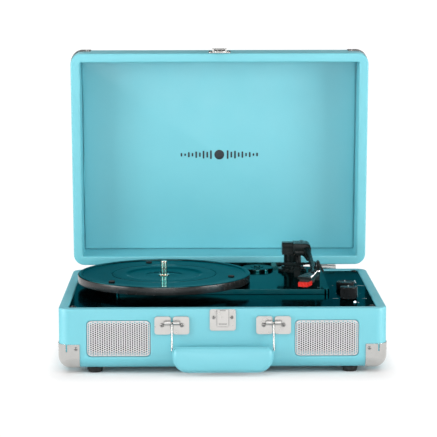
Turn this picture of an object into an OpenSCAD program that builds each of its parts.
// Suitcase record player: wrapped case with a hinged lid, belt-driven platter, tone arm with
// cue lift, two front speakers and the amplifier behind them. Millimetres, +Z up.
// Parts are drawn in case coordinates: x = 0 at mid width, y = 0 at the front face, z = 0 at
// the floor. in_frame() then moves each one so that the origin is the middle of the footprint.

/* [Case] */
// Width of the case
case_w = 354; // [350:1:362]
// Depth of the case, front face to back face
case_d = 258; // [256:1:264]
// Height of the base tray
base_h = 66; // [64:1:70]
// Height of the lid tray
lid_h = 44.7; // [44:0.1:50]
// Thickness of the case walls
wall_t = 10.8; // [10.5:0.1:11.5]
// Thickness of the lid top and the base floor
panel_t = 5; // [4:0.1:5.5]
// Radius of the rounded case edges
edge_r = 13; // [11:1:14]
// Height of the rubber feet
foot_h = 6; // [5:1:10]
// Angle that the lid stands open at
lid_open = 85.5; // [80:0.5:90]

/* [Turntable] */
// Radius of the platter
platter_r = 99; // [95:0.5:99]
// Radius of the spindle, for a record's centre hole
spindle_r = 3.6; // [3.5:0.01:3.6]
// Radius of the ring under the platter that the belt runs on
belt_ring_r = 62; // [60:0.5:63]
// Radius of the motor pulley
pulley_r = 3; // [2.5:0.1:4]

/* [Tone arm] */
// Radius of the arm tube
tube_r = 3; // [2.5:0.1:3]
// Turn of the headshell towards the platter, in degrees
head_turn = 24; // [18:1:26]

/* [Trim] */
// Width of a speaker grille
grille_w = 68; // [60:1:70]
// Height of a speaker grille
grille_h = 38.5; // [34:0.5:40]
// Thickness of the corner caps
cap_t = 0.8; // [0.5:0.1:1]
// Length of the handle grip
grip_w = 109; // [100:1:112]

/* [Hidden] */
$fn = 64;
fit = 0.05;                       // radial clearance of a turning or sliding fit
skin = 0.05;                      // gap under a piece that wraps a curved surface
base_top = foot_h + base_h;       // rim of the base
rim_gap = 0.3;                    // between the two rims when closed
lid_bottom = base_top + rim_gap;
lid_top = lid_bottom + lid_h;
in_x = case_w / 2 - wall_t;       // half the inner width
in_y0 = wall_t;                   // inner face of the front wall
in_y1 = case_d - wall_t;          // inner face of the back wall
floor_z = foot_h + panel_t;
deck_top = base_top - 1;
deck_t = 3;
deck_z = deck_top - deck_t;
post_w = 12;                      // corner posts that carry the deck
screw_r = 1.5;

hinge_y = case_d + 3.4;           // lid hinge axis
hinge_z = base_top + 1.2;
hinge_x = 126;
hinge_w = 30;
hinge_pin_r = 1.25;
barrel_r = 2.7;
leaf_t = 1.2;

chassis_top = deck_top + 6;
chassis_t = 2;
chassis_x = [-120, 121];
chassis_y = [88, 245];
ledge_t = 1;                      // raised strip along the chassis's back edge
chassis_r = [6, 23];              // front and back corner radii
lug_at = [[-110, 100], [110, 100], [-110, 196], [112, 190]];
well_x = [-100, 100];             // opening in the deck under the chassis
well_y = [105, 235];

platter_at = [-65.5, 144.5];
platter_z = chassis_top + 10;     // top of the platter lip
spindle_top = platter_z + 14;
motor_at = [8.5, 171.5];
motor_screw_x = 9;
bush_r = 6;
belt_t = 0.6;

arm_at = [86, 216];               // vertical axis of the arm
tilt_z = 105;                     // horizontal axis of the arm
post_top = 97;
arm_path = [[103, 206, 102.6], [105, 190, 98], [106, 150, 92.5], [104, 113, 90]];
lift_r = 40.5;                    // radius of the cue lift's arc about the arm axis
lift_top = 92.6;
shelf_top = 92.2;
shelf_post = -50;                 // angle of the fixed shelf's post about the arm's axis
cue_at = [89.2, 176];             // cue lift stem
cue_axis = [171, 85.5];           // y and z of the cue lever's shaft
rest_y = 150;                     // arm rest
clip_at = [112.2, 97.6];          // x and z of the clip's pin

adapter_at = [44, 221];
speed_at = [113, 232];
speed_travel = 8;

volume_at = [140.4, 64];
volume_r = 9.5;
volume_top = deck_top + 13.3;
selector_at = [141.7, 126];
selector_r = 10.2;
selector_top = deck_top + 8;
lamp_at = [145.3, 38.2];
shaft_r = 2.5;                    // shaft of a control

grille_x = 112;
grille_z = 39.3;
bracket_x = 54.6;
handle_axis = [-2.6, 57];         // y and z
loop_r = 0.9;                     // wire of the handle loops
grip_bottom = 4.5;
grip_top = 32.7;
grip_y = -12.2;
grip_t = 13;
grip_low_r = 17;
grip_high_r = 5;

cap_w = 23;                       // width of a corner cap along each edge
cap_h = 27;                       // height of a corner cap
hasp_z = 84;                      // hasp pin, lid closed
hasp_y = -3;
foot_x = 138.5;
foot_y = [18, case_d - 18];

panel_x = -96;                    // jack panel on the back
panel_z = 34;
jack_pitch = 18;
panel_hole_w = 92;
phono_x = [panel_x - 2 * jack_pitch, panel_x - jack_pitch];
socket_x = [panel_x, panel_x + jack_pitch];
power_x = panel_x + 2 * jack_pitch;
panel_out = case_d + 1.5;
phono_r = 4.15;                   // phono barrel
phono_l = 8;
panel_screws = [for (x = [-50, 50]) for (z = [-11.5, 11.5]) [panel_x + x, panel_z + z]];

keeper_screw_x = [-9.7, 9.7];
keeper_screw_z = 62.6;
plate_screw_z = 78;               // latch plate's screws, lid closed
bracket_screw_z = 54.5;
hinge_screw_z = 60;
lid_screw_z = 87;                 // lid leaves' screws, lid closed
knuckle = hinge_w / 3;
cap_screw_in = 19;                // corner cap screw: distance in from the side
cap_screw_up = 22.5;              // and up from the closed face
cap_screw_x = [cap_screw_in - case_w / 2, case_w / 2 - cap_screw_in];

// Rearmost point: the rounded edge between the lid's top and back, lid open
lid_back = hinge_y + (case_d - edge_r - hinge_y) * cos(lid_open)
    + (lid_top - edge_r - hinge_z) * sin(lid_open) + edge_r + cap_t;
grip_front = grip_y - grip_t / 2;
mid_y = (lid_back + grip_front) / 2;

// ---- helpers ----

// From case coordinates to the part's own frame
module in_frame() translate([0, -mid_y, 0]) children();

// Lid pieces are drawn closed and stand open at rest
module on_lid() translate([0, hinge_y, hinge_z]) rotate([-lid_open, 0, 0])
    translate([0, -hinge_y, -hinge_z]) children();

// Box between two corners
module box(a, b) translate(a) cube([b[0] - a[0], b[1] - a[1], b[2] - a[2]]);

// Cylinder between two heights
module rod(at, r, z0, z1) translate([at[0], at[1], z0]) cylinder(r = r, h = z1 - z0);

// Cylinder along Y or X
module rod_y(x, z, r, y0, y1) translate([x, y0, z]) rotate([-90, 0, 0]) cylinder(r = r, h = y1 - y0);
module rod_x(y, z, r, x0, x1) translate([x0, y, z]) rotate([0, 90, 0]) cylinder(r = r, h = x1 - x0);

// Cylinder from point a to point b
module strut(a, b, r) {
    d = b - a;
    length = norm(d);
    translate(a) rotate([0, acos(d[2] / length), atan2(d[1], d[0])]) cylinder(r = r, h = length);
}

// Round bar through a list of points, with a slightly proud ball at each bend
module bar(points, r) {
    for (i = [1 : len(points) - 1]) strut(points[i - 1], points[i], r);
    for (i = [1 : len(points) - 2]) translate(points[i]) sphere(r = r + 0.02);
}

// Rectangle with rounded corners, front and back radii given
module plate_2d(x, y, r_front, r_back) {
    w = x[1] - x[0];
    translate([x[0], y[0] + r_front]) square([w, y[1] - y[0] - r_front - r_back]);
    translate([x[0] + r_front, y[0]]) square([w - 2 * r_front, r_front]);
    translate([x[0] + r_back, y[1] - r_back]) square([w - 2 * r_back, r_back]);
    for (s = [0, 1]) {
        sx = s == 0 ? 1 : -1;
        translate([x[s] + sx * r_front, y[0] + r_front]) circle(r = r_front);
        translate([x[s] + sx * r_back, y[1] - r_back]) circle(r = r_back);
    }
}

module plate(x, y, z, r_front, r_back) translate([0, 0, z[0]])
    linear_extrude(z[1] - z[0]) plate_2d(x, y, r_front, r_back);

// Rounded plate standing on the front or back wall, y from y0 to y1
module wall_plate(cx, cz, w, h, r, y0, y1) translate([cx, y1, cz]) rotate([90, 0, 0])
    linear_extrude(y1 - y0) plate_2d([-w / 2, w / 2], [-h / 2, h / 2], r, r);

// The quarter of a disc below the axis: towards +X, or towards -X when turned
module quarter_2d(r, turned) rotate(turned ? 180 : 270) intersection() {
    circle(r = r);
    square(r);
}

// Case tray outside: rounded upright edges and rounded edges round its closed bottom
module tray(z, h, grow) {
    r = edge_r + grow;
    x1 = case_w / 2 - edge_r;
    y = [edge_r, case_d - edge_r];
    low = z + edge_r;
    plate([-case_w / 2 - grow, case_w / 2 + grow], [-grow, case_d + grow], [low, z + h], r, r);
    box([-x1, y[0], z - grow], [x1, y[1], low]);
    for (s = [0, 1]) {
        translate([-x1, y[s], low]) rotate([90, 0, 90]) linear_extrude(2 * x1)
            quarter_2d(r, s == 0);
        translate([s == 0 ? -x1 : x1, y[1], low]) rotate([90, 0, 0]) linear_extrude(y[1] - y[0])
            quarter_2d(r, s == 0);
    }
    for (c = [0 : 3]) {
        translate([c == 0 || c == 3 ? x1 : -x1, c < 2 ? y[1] : y[0], low]) rotate([0, 0, 90 * c])
            rotate_extrude(angle = 90) quarter_2d(r, false);
    }
}

// Lid tray outside: the base tray turned over
module lid_tray(grow) translate([0, case_d, lid_top]) rotate([180, 0, 0]) tray(0, lid_h, grow);

// Screw with a domed head: shank down -Z from z = 0
module screw(shank, head_r, r) {
    translate([0, 0, -shank]) cylinder(r = r, h = shank);
    intersection() {
        cylinder(r = head_r, h = head_r * 0.5);
        translate([0, 0, -head_r * 0.75]) sphere(r = head_r * 1.25);
    }
}

module screw_front(x, z, y, shank, head_r, r) translate([x, y, z]) rotate([90, 0, 0])
    screw(shank, head_r, r);
module screw_back(x, z, y, shank, head_r, r) translate([x, y, z]) rotate([-90, 0, 0])
    screw(shank, head_r, r);

function deck_screw_at() = [for (x = [-161.5, 161.5]) for (y = [17, case_d - 14.7]) [x, y]];
function motor_screw_at() = [for (d = [-1, 1]) motor_at + [d * motor_screw_x, 0]];
function foot_at() = [for (x = [-foot_x, foot_x]) for (y = foot_y) [x, y]];
function hinge_screw_x() = [for (s = [-1, 1]) for (d = [-9, 9]) s * hinge_x + d];
function bracket_screw_x() = [for (s = [-1, 1]) for (d = [-10.6, 10.6]) s * bracket_x + d];
function speaker_screws() = [for (s = [-1, 1]) for (x = [-35.5, 35.5]) for (z = [-19.5, 19.5])
    [s * grille_x + x, grille_z + z]];

// ---- base ----

module base_case() color([0.6, 0.87, 0.9]) {
    difference() {
        tray(foot_h, base_h, 0);
        box([-in_x, in_y0, floor_z], [in_x, in_y1, base_top + 1]);
        for (s = [-1, 1]) {
            wall_plate(s * grille_x, grille_z, grille_w + 0.3, grille_h + 0.3, 5.15, -1, 2.6);
            wall_plate(s * grille_x, grille_z, grille_w - 6, grille_h - 6, 5, 2, in_y0 + 1);
        }
        box([panel_x - panel_hole_w / 2, in_y1 - 1, panel_z - 8],
            [panel_x + panel_hole_w / 2, case_d + 1, panel_z + 8]);
        for (p = foot_at()) rod(p, screw_r + 0.1, foot_h - 1, foot_h + 4.5);
        for (x = bracket_screw_x()) rod_y(x, bracket_screw_z, 1.3, -1, 7);
        for (x = keeper_screw_x) rod_y(x, keeper_screw_z, 1.3, -1, 7);
        for (x = hinge_screw_x()) rod_y(x, hinge_screw_z, 1.3, case_d - 7, case_d + 1);
        for (x = cap_screw_x) {
            rod_y(x, foot_h + cap_screw_up, 1.1, -1, 6);
            rod_y(x, foot_h + cap_screw_up, 1.1, case_d - 6, case_d + 1);
        }
        for (p = panel_screws) rod_y(p[0], p[1], 1.3, case_d - 7, case_d + 1);
        for (p = speaker_screws()) rod_y(p[0], p[1], 1.3, in_y0 - 5, in_y0 + 1);
    }
    for (s = [-1, 1]) for (y = [in_y0, in_y1 - post_w]) {
        x0 = s > 0 ? in_x - post_w : -in_x;
        difference() {
            box([x0, y, floor_z], [x0 + post_w, y + post_w, deck_z]);
            for (p = deck_screw_at()) rod(p, 1.3, deck_z - 10, deck_z + 1);
        }
    }
}

module deck_plate() color([0.03, 0.05, 0.06]) difference() {
    box([-in_x + 0.4, in_y0 + 0.4, deck_z], [in_x - 0.4, in_y1 - 0.4, deck_top]);
    box([well_x[0], well_y[0], deck_z - 1], [well_x[1], well_y[1], deck_top + 1]);
    for (p = deck_screw_at()) rod(p, screw_r + 0.15, deck_z - 1, deck_top + 1);
    for (p = lug_at) rod(p, screw_r + 0.1, deck_z - 1, deck_top + 1);
    for (p = [volume_at, selector_at]) rod(p, 3.6, deck_z - 1, deck_top + 1);
    rod(lamp_at, 1.6, deck_z - 1, deck_top + 1);
}

// Deck screws, suspension screws that come up from below, and motor screws
module deck_screws() color([0.1, 0.1, 0.1]) {
    for (p = deck_screw_at()) translate([p[0], p[1], deck_top]) screw(deck_t + 8, 3, 1.25);
    for (p = lug_at) translate([p[0], p[1], deck_z]) rotate([180, 0, 0])
        screw(chassis_top - deck_z - 0.2, 3, screw_r);
    for (p = motor_screw_at()) translate([p[0], p[1], chassis_top]) screw(4, 1.9, 1);
}

// ---- mechanism plate ----

module chassis() color([0.04, 0.06, 0.07]) difference() {
    union() {
        difference() {
            plate(chassis_x, chassis_y, [deck_top + 0.3, chassis_top], chassis_r[0], chassis_r[1]);
            plate([chassis_x[0] + 2, chassis_x[1] - 2], [chassis_y[0] + 2, chassis_y[1] - 2],
                [deck_top - 1, chassis_top - chassis_t], chassis_r[0] - 2, chassis_r[1] - 2);
        }
        box([-86, chassis_y[1] - ledge_t, chassis_top - 1], [86, chassis_y[1], chassis_top + 5]);
        rod(adapter_at, spindle_r, chassis_top - 1, chassis_top + 5.5);
    }
    rod(platter_at, spindle_r + 0.05, deck_top, chassis_top + 1);
    rod(motor_at, 5, deck_top, chassis_top + 1);
    rod(arm_at, 6, deck_top, chassis_top + 1);
    rod(cue_at, 2.6, deck_top, chassis_top + 1);
    for (p = lug_at) rod(p, screw_r + 0.1, deck_top, chassis_top + 1);
    for (p = motor_screw_at()) rod(p, 1.1, deck_top, chassis_top + 1);
    box([speed_at[0] - 1.5, speed_at[1] - speed_travel - 2, deck_top],
        [speed_at[0] + 1.5, speed_at[1] + 2, chassis_top + 1]);
}

module chassis_grommets() color([0.08, 0.08, 0.08]) for (p = lug_at) difference() {
    rod(p, 5.5, deck_top, chassis_top - chassis_t);
    rod(p, screw_r + 0.1, deck_top - 1, chassis_top);
}

module spindle() color([0.75, 0.74, 0.72]) translate([platter_at[0], platter_at[1], 0])
    rotate_extrude() polygon([
        [0, deck_top - 3], [8, deck_top - 3], [8, chassis_top - chassis_t],
        [spindle_r, chassis_top - chassis_t], [spindle_r, platter_z - 2.7],
        [spindle_r - 0.5, platter_z - 2.7], [spindle_r - 0.5, platter_z - 1.9],
        [spindle_r, platter_z - 1.9],
        for (a = [0 : 15 : 75]) [(spindle_r - 1.2) + 1.2 * cos(a), spindle_top - 1.2 + 1.2 * sin(a)],
        [spindle_r - 1.2, spindle_top], [0, spindle_top]]);

// ---- platter ----

module platter() color([0.05, 0.1, 0.12]) translate([platter_at[0], platter_at[1], platter_z])
    rotate_extrude($fn = 128) polygon([
        [bush_r + 0.02, -9.3], [9, -9.3], [9, -5], [23, -5], [23.6, -4], [41, -4], [44, -3],
        [belt_ring_r - 2.4, -3], [belt_ring_r - 2.4, -8.4], [belt_ring_r, -8.4],
        [belt_ring_r, -3], [platter_r - 2.2, -3], [platter_r - 2.2, -9.2], [platter_r - 0.6, -9.2],
        [platter_r, -8.6], [platter_r, -0.7], [platter_r - 0.7, 0], [platter_r - 5.2, 0],
        [platter_r - 6, -0.9], [60.6, -0.9], [60.2, -1.5], [59.4, -1.5], [59, -0.9], [44, -0.9],
        [41.4, -1.9], [21.6, -1.9], [20.8, -2.9], [bush_r + 0.02, -2.9]]);

module platter_bush() color([0.85, 0.8, 0.6]) difference() {
    union() {
        rod(platter_at, bush_r, chassis_top + 0.05, platter_z - 2.9);
        rod(platter_at, 8, chassis_top + 0.05, chassis_top + 0.65);
    }
    rod(platter_at, spindle_r + fit, platter_z - 10, platter_z);
}

module platter_pads() color([0.02, 0.02, 0.02]) for (a = [104, 224, 344])
    translate([platter_at[0] + 80 * cos(a), platter_at[1] + 80 * sin(a), platter_z - 0.9])
        cylinder(r = 3.6, h = 1.1);

// Open ring that sits in the spindle's groove
module platter_clip() color([0.5, 0.45, 0.4])
    translate([platter_at[0], platter_at[1], platter_z - 2.65]) difference() {
        cylinder(r = 6.2, h = 0.7);
        translate([0, 0, -1]) cylinder(r = spindle_r - 0.4, h = 3);
        translate([-1.6, -8, -1]) cube([3.2, 8, 3]);
    }

// ---- motor and belt ----

module motor_can() color([0.7, 0.71, 0.73]) difference() {
    rod(motor_at, 16, chassis_top - chassis_t - 20, chassis_top - chassis_t);
    rod(motor_at, 14.5, chassis_top - chassis_t - 18, chassis_top - chassis_t - 1.5);
    rod(motor_at, 1 + fit, chassis_top - chassis_t - 5, chassis_top);
    for (p = motor_screw_at()) rod(p, 1.1, chassis_top - 5, chassis_top);
}

module motor_rotor() color([0.6, 0.5, 0.4]) {
    rod(motor_at, 1, chassis_top - chassis_t - 17, platter_z - 4);
    rod(motor_at, 7.5, chassis_top - chassis_t - 16, chassis_top - chassis_t - 5);
}

module motor_pulley() color([0.8, 0.7, 0.4]) translate([motor_at[0], motor_at[1], 0]) rotate_extrude()
    polygon([[1.02, chassis_top + 1.2], [pulley_r + 1, chassis_top + 1.2],
        [pulley_r + 1, chassis_top + 1.8], [pulley_r, chassis_top + 1.8],
        [pulley_r, chassis_top + 5.6], [pulley_r + 1, chassis_top + 5.6],
        [pulley_r + 1, chassis_top + 6.2], [1.02, chassis_top + 6.2]]);

// Outline round two circles with the straight runs that touch both
module belt_2d(r1, r2) {
    d = motor_at - platter_at;
    turn = atan2(d[1], d[0]);
    lean = acos((r1 - r2) / norm(d));
    translate(platter_at) circle(r = r1, $fn = 128);
    translate(motor_at) circle(r = r2);
    polygon([platter_at,
        platter_at + r1 * [cos(turn - lean), sin(turn - lean)],
        motor_at + r2 * [cos(turn - lean), sin(turn - lean)],
        motor_at,
        motor_at + r2 * [cos(turn + lean), sin(turn + lean)],
        platter_at + r1 * [cos(turn + lean), sin(turn + lean)]]);
}

module drive_belt() color([0.03, 0.03, 0.03]) translate([0, 0, chassis_top + 1.9]) linear_extrude(3.6)
    difference() {
        belt_2d(belt_ring_r + 0.08 + belt_t, pulley_r + 0.08 + belt_t);
        belt_2d(belt_ring_r + 0.08, pulley_r + 0.08);
    }

module adapter_45() color([0.04, 0.05, 0.06]) translate([adapter_at[0], adapter_at[1], chassis_top])
    rotate_extrude() polygon([[spindle_r + fit, 0.05], [19, 0.05], [19, 2.6], [18, 3.4],
        [8, 3.4], [7, 4.2], [spindle_r + fit, 4.2]]);

// ---- switches under the mechanism plate ----

module speed_switch() color([0.15, 0.15, 0.15]) difference() {
    intersection() {
        box([speed_at[0] - 5, speed_at[1] - speed_travel - 5, deck_top],
            [speed_at[0] + 4.5, speed_at[1] + 4, chassis_top - chassis_t]);
        plate([chassis_x[0] + 2.1, chassis_x[1] - 2.1], [chassis_y[0] + 2.1, chassis_y[1] - 2.1],
            [deck_top, chassis_top], chassis_r[0] - 2.1, chassis_r[1] - 2.1);
    }
    box([speed_at[0] - 2, speed_at[1] - speed_travel - 2, deck_top + 1],
        [speed_at[0] + 9, speed_at[1] + 9, chassis_top]);
}

module speed_lever() color([0.03, 0.03, 0.03]) {
    box([speed_at[0] - 1.8, speed_at[1] - 1.6, deck_top + 1.1],
        [speed_at[0] + 1.6, speed_at[1] + 1.4, chassis_top - chassis_t - 0.3]);
    rod(speed_at, 1.3, chassis_top - chassis_t - 1, chassis_top + 7);
    translate([speed_at[0], speed_at[1], chassis_top + 7]) sphere(r = 1.3);
}

module autostop_slider() color([0.8, 0.8, 0.78]) difference() {
    box([arm_at[0] - 44, arm_at[1] - 5, chassis_top - chassis_t - 1.6],
        [arm_at[0] - 10, arm_at[1] + 5, chassis_top - chassis_t - 0.1]);
    box([arm_at[0] - 38, arm_at[1] - 1.6, deck_top], [arm_at[0] - 24, arm_at[1] + 1.6, chassis_top]);
}

// ---- tone arm ----

module arm_base() color([0.04, 0.05, 0.06]) difference() {
    union() {
        rod(arm_at, 17, chassis_top, chassis_top + 3);
        rod(arm_at, 13, chassis_top + 3, chassis_top + 6);
        rod(arm_at, 10.3, chassis_top + 6, post_top);
    }
    rod(arm_at, 4 + fit, chassis_top - 1, post_top + 1);
}

module arm_shaft() color([0.7, 0.7, 0.72]) {
    rod(arm_at, 4, 64, post_top + 0.4);
    difference() {
        rod(arm_at, 9, 64, 67);
        box([arm_at[0] - 10, arm_at[1] - 10, 63], [arm_at[0] + 10, arm_at[1] - 5, 68]);
    }
}

module arm_yoke() color([0.03, 0.04, 0.05]) difference() {
    union() {
        rod(arm_at, 9.8, post_top + 0.4, post_top + 3);
        box([arm_at[0] - 12.6, arm_at[1] - 10, post_top + 0.4],
            [arm_at[0], arm_at[1] + 10, tilt_z]);
        intersection() {
            rod_x(arm_at[1], tilt_z - 2, 10, arm_at[0] - 12.6, arm_at[0]);
            box([arm_at[0] - 20, arm_at[1] - 20, tilt_z - 4], [arm_at[0] + 20, arm_at[1] + 20, 111]);
        }
    }
    rod_x(arm_at[1], tilt_z, 1.6 + fit, arm_at[0] - 9, arm_at[0] + 5);
}

module arm_pivot_pin() color([0.75, 0.75, 0.77]) rod_x(arm_at[1], tilt_z, 1.6,
    arm_at[0] - 8.8, arm_at[0] + 15);

// Arm body and tube: a rear block on the pivot pin and a bent tube to the headshell
module arm_tube() color([0.03, 0.04, 0.05]) difference() {
    union() {
        intersection() {
            box([arm_at[0] + 0.4, arm_at[1] - 15, 100.6], [arm_at[0] + 21.4, arm_at[1] + 12, 111]);
            union() {
                rod_y(arm_at[0] + 15.4, 105, 6, arm_at[1] - 16, arm_at[1] + 13);
                box([arm_at[0], arm_at[1] - 16, 104], [arm_at[0] + 15.4, arm_at[1] + 13, 112]);
                box([arm_at[0] + 9.4, arm_at[1] - 16, 100], [arm_at[0] + 21.4, arm_at[1] + 13, 105]);
            }
        }
        bar(arm_path, tube_r);
    }
    rod_x(arm_at[1], tilt_z, 1.6 + fit, arm_at[0] - 1, arm_at[0] + 15.2);
    on_head() box([-12, -12, -8], [12, 0, 8]);
}

module counterweight() color([0.03, 0.03, 0.03]) rod_y(arm_at[0] + 12, 104.6, 5.6,
    arm_at[1] + 12, arm_at[1] + 22);

// The headshell's own frame: origin at the tube's end, -Y towards its nose
module on_head() translate(arm_path[3]) rotate([0, 0, -head_turn]) children();

module headshell() color([0.04, 0.05, 0.06]) on_head() difference() {
    box([-7, -31, -1.5], [7, 0, 1.5]);
    box([-5.8, -29.5, -3], [5.8, -9, 0.2]);
}

// Rolled metal tab that leans out from the headshell's side
module finger_lift() color([0.8, 0.8, 0.8]) on_head() intersection() {
    translate([6.4, -25, -2]) rotate([0, 42, 0]) difference() {
        cylinder(r = 2.8, h = 14.5);
        translate([0, 0, 4]) cylinder(r = 2.1, h = 12);
        box([-4, -4, 6], [-0.6, 4, 16]);
    }
    box([7.02, -30, -3], [30, -20, 20]);
}

module cartridge() color([0.05, 0.05, 0.05]) on_head() difference() {
    box([-5.4, -29, -7.5], [5.4, -9.4, 0.15]);
    box([-6, -30, -9], [6, -16.9, -4.4]);
}

module stylus() color([0.85, 0.1, 0.08]) on_head() {
    box([-5.4, -33, -9.5], [5.4, -17, -4.45]);
    strut([0, -31, -9.2], [0, -31, -10.8], 0.4);
}

// ---- cueing and arm rest ----

// Curved shelf below the arm tube, about the arm's axis
module arm_arc(start, sweep, z, h) translate([arm_at[0], arm_at[1], z]) rotate([0, 0, start])
    rotate_extrude(angle = sweep) translate([lift_r - 2.6, 0]) square([5.2, h]);

// Guide for the lift's stem, and the fixed shelf that carries on from the lift to the parked arm
module cue_guide() color([0.05, 0.06, 0.07]) {
    cue_block();
    arm_arc(-71, 24, shelf_top - 1.8, 1.8);
    rod(arm_at + lift_r * [cos(shelf_post), sin(shelf_post)], 2.2, chassis_top, shelf_top - 1.8);
}

module cue_block() difference() {
    box([cue_at[0] - 3.6, cue_at[1] - 8, chassis_top], [cue_at[0] + 3.6, cue_at[1] + 4, 88.4]);
    rod(cue_at, 2.2 + fit, chassis_top - 1, 90);
    rod_x(cue_axis[0], cue_axis[1], 1.2 + fit, cue_at[0] - 2.8, cue_at[0] + 4);
}

module cue_lift() color([0.08, 0.1, 0.11]) {
    rod(cue_at, 2.2, deck_top - 6, lift_top - 2.6);
    arm_arc(-118, 46, lift_top - 2.6, 2.6);
}

module cue_lever() color([0.06, 0.07, 0.08]) {
    rod_x(cue_axis[0], cue_axis[1], 1.2, cue_at[0] - 2.6, cue_at[0] + 4);
    translate([cue_at[0] + 3.8, cue_axis[0], cue_axis[1]]) rotate([-14, 0, 0]) {
        rod_x(0, 0, 3, 0, 4);
        box([0, -15, -2], [4, 0, 2]);
        rod_x(-15, 0, 2, 0, 4);
    }
}

module arm_rest() color([0.05, 0.06, 0.07]) difference() {
    union() {
        box([101, rest_y - 4, chassis_top], [114, rest_y + 4, 89]);
        box([110.4, rest_y - 4, 89], [114, rest_y + 4, clip_at[1]]);
        rod_y(clip_at[0], clip_at[1], 1.8, rest_y - 4, rest_y + 4);
    }
    rod_y(clip_at[0], clip_at[1], 0.8 + fit, rest_y - 5, rest_y + 5);
}

// Clip hangs open on the right at rest and turns up and over the tube to hold it
module arm_rest_clip() color([0.08, 0.08, 0.09]) {
    rod_y(clip_at[0], clip_at[1], 0.8, rest_y - 5.8, rest_y + 5.8);
    translate([clip_at[0], rest_y, clip_at[1]]) rotate([0, 62, 0]) {
        for (s = [-1, 1]) translate([0, s * 5.1, 0]) box([-1.2, -0.8, -1.2], [12, 0.8, 1.2]);
        box([10.4, -5.9, -1.2], [12, 5.9, 1.2]);
    }
}

// ---- controls ----

// Pot or switch body with its threaded neck and hex nut
module control(at) difference() {
    union() {
        rod(at, 8, deck_z - 11, deck_z);
        rod(at, 3.5, deck_z, deck_top + 1.6);
        translate([at[0], at[1], deck_top]) cylinder(r = 5.2, h = 1.6, $fn = 6);
    }
    rod(at, shaft_r + fit, deck_z - 8, deck_top + 3);
}

// Volume control behind the front knob and source switch behind the rear one
module control_bodies() color([0.3, 0.3, 0.32]) {
    control(volume_at);
    control(selector_at);
}

// Knob on its shaft, hollow over the nut, with a pointer groove in its flat top
module knob(at, r, top) difference() {
    union() {
        difference() {
            rod(at, r, deck_top + 0.6, top);
            rod(at, 6.6, deck_top, deck_top + 3);
        }
        rod(at, shaft_r, deck_z - 7.8, deck_top + 5);
    }
    box([at[0] - 0.5, at[1] + 2, top - 0.6], [at[0] + 0.5, at[1] + r + 1, top + 1]);
}

module volume_knob() color([0.04, 0.04, 0.05]) knob(volume_at, volume_r, volume_top);
module selector_knob() color([0.04, 0.04, 0.05]) knob(selector_at, selector_r, selector_top);

module power_lamp() color([0.9, 0.95, 1]) {
    rod(lamp_at, 1.5, deck_z - 4, deck_top + 0.2);
    translate([lamp_at[0], lamp_at[1], deck_top + 0.2]) intersection() {
        sphere(r = 1.5);
        cylinder(r = 2, h = 2);
    }
}

module amp_board() color([0.1, 0.4, 0.2]) {
    top = deck_z - 11;
    box([122, 40, top - 1.6], [160, 140, top]);
    for (p = [[127, 76], [127, 86], [154, 78]]) rod(p, 3.5, top, top + 10);
    box([134, 84, top], [150, 96, top + 6]);
}

// ---- speakers ----

// Stadium-shaped part: a profile in x (outwards) and y (depth) turned round two centres
module racetrack(gap) {
    for (s = [-1, 1]) translate([s * gap / 2, 0, 0]) rotate([0, 0, s * 90 - 180])
        rotate_extrude(angle = 180) children();
    for (s = [0, 1]) rotate([0, 0, s * 180]) translate([-gap / 2, 0, 0]) rotate([90, 0, 90])
        linear_extrude(gap) children();
}

// Turns a speaker part to face the front, with its depth behind the front wall
module in_speaker(s) translate([s * grille_x, in_y0, grille_z]) rotate([-90, 0, 0]) children();

module speaker_frames() color([0.2, 0.2, 0.22]) for (s = [-1, 1]) {
    difference() {
        wall_plate(s * grille_x, grille_z, 77, 45, 4, in_y0, in_y0 + 2);
        in_speaker(s) racetrack(28) translate([0, -1]) square([17, 4]);
        for (p = speaker_screws()) rod_y(p[0], p[1], 1.4, in_y0 - 1, in_y0 + 3);
    }
    in_speaker(s) racetrack(28) polygon([[17.2, 2], [18.6, 2], [12, 13], [12, 14.5],
        [10.6, 14.5], [10.6, 13]]);
}

module speaker_cones() color([0.1, 0.1, 0.1]) for (s = [-1, 1]) in_speaker(s) {
    racetrack(28) polygon([[6, 9.4], [14.2, 1.4], [17, 1.4], [17, 2], [14.6, 2], [6, 10.4]]);
    translate([-14, -6, 9.4]) cube([28, 12, 1]);
    for (e = [-14, 14]) translate([e, 0, 9.4]) cylinder(r = 6, h = 1);
}

module speaker_magnets() color([0.35, 0.35, 0.36]) for (s = [-1, 1]) in_speaker(s) {
    translate([0, 0, 14.5]) cylinder(r = 14, h = 9);
    translate([0, 0, 11]) cylinder(r = 8.6, h = 3.5);
}

module grilles() color([0.78, 0.79, 0.8]) for (s = [-1, 1]) difference() {
    wall_plate(s * grille_x, grille_z, grille_w, grille_h, 5, 0.4, 2.6);
    wall_plate(s * grille_x, grille_z, grille_w - 1.6, grille_h - 1.6, 4.2, 1.2, 3);
}

// ---- rear sockets and wiring ----

module jack_panel() color([0.08, 0.08, 0.09]) difference() {
    wall_plate(panel_x, panel_z, 108, 30, 4, case_d, panel_out);
    for (x = phono_x) rod_y(x, panel_z, 4.2, case_d - 1, panel_out + 1);
    for (x = socket_x) rod_y(x, panel_z, 3.1, case_d - 1, panel_out + 1);
    rod_y(power_x, panel_z, 4.1, case_d - 1, panel_out + 1);
    for (p = panel_screws) rod_y(p[0], p[1], 1.4, case_d - 1, panel_out + 1);
}

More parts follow.
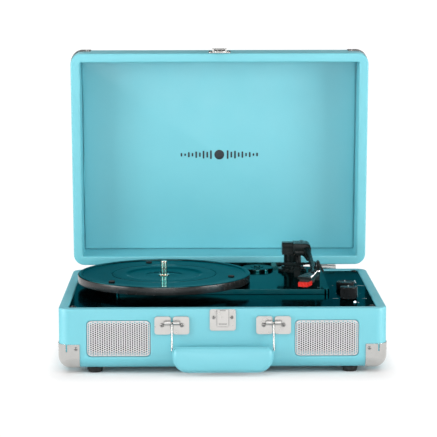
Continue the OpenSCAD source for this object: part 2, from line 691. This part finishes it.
// Two phono sockets, two 3.5 mm sockets and the power socket
module jack_sockets() color([0.7, 0.7, 0.7]) {
    for (x = phono_x) difference() {
        union() {
            rod_y(x, panel_z, phono_r - 0.3, case_d - 6, panel_out);
            rod_y(x, panel_z, phono_r, panel_out, panel_out + phono_l);
            wall_plate(x, panel_z, 12, 12, 1, case_d - 8, case_d);
        }
        rod_y(x, panel_z, 1.6, panel_out, panel_out + phono_l + 1);
        difference() {
            rod_y(x, panel_z, 3.5, panel_out + 0.5, panel_out + phono_l + 1);
            rod_y(x, panel_z, 2.4, panel_out, panel_out + phono_l + 2);
        }
    }
    for (x = socket_x) difference() {
        union() {
            rod_y(x, panel_z, 3.05, case_d - 2, panel_out + 1.5);
            wall_plate(x, panel_z, 11, 11, 1, case_d - 14, case_d);
        }
        rod_y(x, panel_z, 1.8, case_d - 12.5, panel_out + 2);
    }
    difference() {
        union() {
            rod_y(power_x, panel_z, 4, case_d - 2, panel_out + 0.6);
            wall_plate(power_x, panel_z, 11, 12, 1, case_d - 12, case_d);
        }
        rod_y(power_x, panel_z, 2.8, panel_out - 9, panel_out + 1);
    }
    rod_y(power_x, panel_z, 1, panel_out - 9, panel_out - 0.5);
}

// Wires lie on the floor and rise beside the pieces that they feed
module wiring_loom() color([0.5, 0.1, 0.1]) {
    z = floor_z + 1.5;
    wires = [
        [[124, 60, deck_z - 13], [124, 60, z], [-120, 60, z], [-120, in_y0 + 20, z],
            [-120, in_y0 + 20, grille_z - 16]],
        [[128, 56, deck_z - 13], [128, 56, z + 3], [128, in_y0 + 20, z + 3],
            [128, in_y0 + 20, grille_z - 16]],
        [[124, 70, deck_z - 13], [124, 70, z], [motor_at[0], 70, z], [motor_at[0], motor_at[1], z],
            [motor_at[0], motor_at[1], chassis_top - chassis_t - 20.4]],
        [[130, 90, deck_z - 13], [130, 90, z], [130, 226, z], [panel_x, 226, z],
            [panel_x, 226, panel_z], [panel_x, case_d - 14.4, panel_z]],
        [[126, 96, deck_z - 13], [126, 96, z + 3], [arm_at[0], 96, z + 3],
            [arm_at[0], arm_at[1], z + 3], [arm_at[0], arm_at[1], 63.6]],
    ];
    for (w = wires) bar(w, 1);
}

// ---- trim ----

module rubber_feet() color([0.03, 0.03, 0.03]) for (p = foot_at()) translate([p[0], p[1], 0])
    rotate_extrude() polygon([[1.6, 3], [3.4, 3], [3.4, 0], [7.4, 0], [9, foot_h], [1.6, foot_h]]);

// Corner cap shell at the left front of a tray whose closed face is at z = 0
module corner_cap() {
    edge = -case_w / 2;
    difference() {
        intersection() {
            tray(0, base_h, cap_t);
            box([edge - 2, -2, -2], [edge + cap_w, cap_w, cap_h]);
        }
        tray(0, base_h, skin);
        box([edge + 8, -2, cap_h - 8], [edge + 9.6, 2, cap_h + 1]);
        box([edge - 2, 8, cap_h - 8], [edge + 2, 9.6, cap_h + 1]);
        rod_y(edge + cap_screw_in, cap_screw_up, 1.1, -2, 2);
    }
}

// The four corners of a tray
module at_corners() for (sx = [0, 1]) for (sy = [0, 1]) mirror([sx, 0, 0])
    translate([0, sy * case_d, 0]) mirror([0, sy, 0]) children();

module corner_caps() color([0.8, 0.8, 0.8]) translate([0, 0, foot_h]) at_corners() corner_cap();

module case_screws() color([0.7, 0.7, 0.7]) {
    for (x = bracket_screw_x()) screw_front(x, bracket_screw_z, -2.2, 8, 2.2, 1.2);
    for (x = keeper_screw_x) screw_front(x, keeper_screw_z, -1, 7, 1.8, 1.2);
    for (x = hinge_screw_x()) screw_back(x, hinge_screw_z, case_d + leaf_t, 7, 2.2, 1.2);
    for (x = cap_screw_x) {
        screw_front(x, foot_h + cap_screw_up, -cap_t, 6, 1.8, 1);
        screw_back(x, foot_h + cap_screw_up, case_d + cap_t, 6, 1.8, 1);
    }
    for (p = panel_screws) screw_back(p[0], p[1], panel_out, 7, 2, 1.2);
    for (p = speaker_screws()) screw_back(p[0], p[1], in_y0 + 2, 6, 2.2, 1.2);
    for (p = foot_at()) translate([p[0], p[1], 3]) rotate([180, 0, 0]) screw(7, 2.8, screw_r);
}

module latch_keeper() color([0.8, 0.79, 0.78]) difference() {
    union() {
        wall_plate(0, 59.8, 28, 23.4, 2.5, -1, 0);
        wall_plate(0, 62.2, 12, 18.4, 1, -2.2, -1);
    }
    wall_plate(0, 55.5, 8.4, 1.6, 0.7, -2.6, -1.6);
    wall_plate(0, 70.2, 6, 1.2, 0.5, -2.6, -1.6);
    for (x = keeper_screw_x) rod_y(x, keeper_screw_z, 1.3, -2, 1);
}

// Two stamped halves on each side of the loop's slot, with a tunnel for its cross bar
module handle_brackets() color([0.8, 0.79, 0.78]) for (s = [-1, 1]) for (h = [-1, 1])
    translate([s * bracket_x, 0, 0]) difference() {
        union() {
            wall_plate(h * 9.9, 54, 17.6, 19.5, 3, -2.2, 0);
            rod_x(handle_axis[0], handle_axis[1], 2.2, h > 0 ? 1.3 : -8, h > 0 ? 8 : -1.3);
        }
        rod_x(handle_axis[0], handle_axis[1], 1 + fit, -6.8, 6.8);
        rod_y(h * 10.6, bracket_screw_z, 1.3, -3, 1);
        box([-1.25, -6, 40], [1.25, 1, 70]);
    }

// ---- handle ----

module handle_loops() color([0.85, 0.85, 0.85]) for (s = [-1, 1]) translate([s * bracket_x, 0, 0]) {
    rod_x(handle_axis[0], handle_axis[1], 1, -6.6, 6.6);
    strut([0, handle_axis[0], handle_axis[1]], [0, grip_y + 1, grip_top - 5], loop_r);
}

// Grip outline: small corners on top, wide ones below
module grip_2d() {
    h = grip_top - grip_bottom;
    w = grip_w / 2;
    translate([-w, grip_low_r - h / 2]) square([grip_w, h - grip_low_r - grip_high_r]);
    translate([grip_low_r - w, -h / 2]) square([grip_w - 2 * grip_low_r, grip_low_r]);
    translate([grip_high_r - w, h / 2 - grip_high_r]) square([grip_w - 2 * grip_high_r, grip_high_r]);
    for (s = [-1, 1]) {
        translate([s * (w - grip_high_r), h / 2 - grip_high_r]) circle(r = grip_high_r);
        translate([s * (w - grip_low_r), grip_low_r - h / 2]) quarter_2d(grip_low_r, s < 0);
    }
}

module handle_grip() color([0.62, 0.88, 0.92])
    translate([0, grip_front + grip_t, (grip_top + grip_bottom) / 2])
    rotate([90, 0, 0]) linear_extrude(grip_t) grip_2d();

// ---- hinges ----

// Knuckles along the axis: the outer two belong to the base, the middle one to the lid
module base_hinge_leaves() color([0.7, 0.68, 0.66]) for (s = [-1, 1])
    translate([s * hinge_x, 0, 0]) difference() {
        union() {
            wall_plate(0, hinge_screw_z, hinge_w, 20, 2, case_d, case_d + leaf_t);
            for (x0 = [-hinge_w / 2, knuckle / 2]) {
                rod_x(hinge_y, hinge_z, barrel_r, x0, x0 + knuckle);
                box([x0, case_d, 68], [x0 + knuckle, case_d + leaf_t, hinge_z]);
            }
        }
        rod_x(hinge_y, hinge_z, hinge_pin_r + 0.02, -hinge_w, hinge_w);
        for (d = [-9, 9]) rod_y(d, hinge_screw_z, 1.3, case_d - 1, case_d + 3);
        box([-knuckle / 2, case_d - 1, 69], [knuckle / 2, case_d + 8, 80]);
    }

module hinge_pins() color([0.6, 0.58, 0.56]) for (s = [-1, 1])
    rod_x(hinge_y, hinge_z, hinge_pin_r, s * hinge_x - hinge_w / 2, s * hinge_x + hinge_w / 2);

// ---- lid ----

module lid_case() color([0.55, 0.85, 0.89]) on_lid() difference() {
    lid_tray(0);
    box([-in_x, in_y0, lid_bottom - 1], [in_x, in_y1, lid_top - panel_t]);
    for (x = hinge_screw_x()) rod_y(x, lid_screw_z, 1.3, case_d - 7, case_d + 1);
    for (x = keeper_screw_x) rod_y(x, plate_screw_z, 1.3, -1, 7);
    for (x = cap_screw_x) {
        rod_y(x, lid_top - cap_screw_up, 1.1, -1, 6);
        rod_y(x, lid_top - cap_screw_up, 1.1, case_d - 6, case_d + 1);
    }
}

module lid_corner_caps() color([0.8, 0.8, 0.8]) on_lid() translate([0, case_d, lid_top])
    rotate([180, 0, 0]) at_corners() corner_cap();

module lid_hinge_leaves() color([0.7, 0.68, 0.66]) on_lid() for (s = [-1, 1])
    translate([s * hinge_x, 0, 0]) difference() {
        union() {
            wall_plate(0, lid_screw_z, hinge_w, 20, 2, case_d, case_d + leaf_t);
            rod_x(hinge_y, hinge_z, barrel_r, 0.1 - knuckle / 2, knuckle / 2 - 0.1);
            box([0.1 - knuckle / 2, case_d, hinge_z], [knuckle / 2 - 0.1, case_d + leaf_t, 80]);
        }
        rod_x(hinge_y, hinge_z, hinge_pin_r + fit, -hinge_w, hinge_w);
        for (d = [-9, 9]) rod_y(d, lid_screw_z, 1.3, case_d - 1, case_d + 3);
    }

module lid_screws() color([0.7, 0.7, 0.7]) on_lid() {
    for (x = hinge_screw_x()) screw_back(x, lid_screw_z, case_d + leaf_t, 7, 2.2, 1.2);
    for (x = keeper_screw_x) screw_front(x, plate_screw_z, -1, 7, 1.8, 1.2);
    for (x = cap_screw_x) {
        screw_front(x, lid_top - cap_screw_up, -cap_t, 6, 1.8, 1);
        screw_back(x, lid_top - cap_screw_up, case_d + cap_t, 6, 1.8, 1);
    }
}

// ---- latch ----

module latch_plate() color([0.8, 0.79, 0.78]) on_lid() {
    difference() {
        wall_plate(0, 82.5, 26, 17, 2, -1, 0);
        for (x = keeper_screw_x) rod_y(x, plate_screw_z, 1.3, -2, 1);
    }
    for (x0 = [-8.6, 6.6]) difference() {
        box([x0, -4.6, hasp_z - 1.6], [x0 + 2, -1, hasp_z + 1.6]);
        rod_x(hasp_y, hasp_z, 0.8, -10, 10);
    }
}

// Hasp with its pin: hangs past the rim over the keeper
module latch_hasp() color([0.82, 0.81, 0.8]) on_lid() {
    rod_x(hasp_y, hasp_z, 0.75, -8.5, 8.5);
    rod_x(hasp_y, hasp_z, 1.5, -6.2, 6.2);
    difference() {
        wall_plate(0, 73, 12.4, 22, 2, -3.6, -2.4);
        wall_plate(0, 66, 6, 2.4, 1, -5, -1);
    }
}

in_frame() base_case();
in_frame() deck_plate();
in_frame() deck_screws();
in_frame() chassis();
in_frame() chassis_grommets();
in_frame() spindle();
in_frame() platter();
in_frame() platter_bush();
in_frame() platter_pads();
in_frame() platter_clip();
in_frame() motor_can();
in_frame() motor_rotor();
in_frame() motor_pulley();
in_frame() drive_belt();
in_frame() adapter_45();
in_frame() speed_switch();
in_frame() speed_lever();
in_frame() autostop_slider();
in_frame() arm_base();
in_frame() arm_shaft();
in_frame() arm_yoke();
in_frame() arm_pivot_pin();
in_frame() arm_tube();
in_frame() counterweight();
in_frame() headshell();
in_frame() finger_lift();
in_frame() cartridge();
in_frame() stylus();
in_frame() cue_guide();
in_frame() cue_lift();
in_frame() cue_lever();
in_frame() arm_rest();
in_frame() arm_rest_clip();
in_frame() control_bodies();
in_frame() volume_knob();
in_frame() selector_knob();
in_frame() power_lamp();
in_frame() amp_board();
in_frame() speaker_frames();
in_frame() speaker_cones();
in_frame() speaker_magnets();
in_frame() grilles();
in_frame() jack_panel();
in_frame() jack_sockets();
in_frame() wiring_loom();
in_frame() rubber_feet();
in_frame() corner_caps();
in_frame() case_screws();
in_frame() latch_keeper();
in_frame() base_hinge_leaves();
in_frame() hinge_pins();
in_frame() handle_brackets();
in_frame() handle_loops();
in_frame() handle_grip();
in_frame() lid_case();
in_frame() lid_corner_caps();
in_frame() lid_hinge_leaves();
in_frame() lid_screws();
in_frame() latch_plate();
in_frame() latch_hasp();
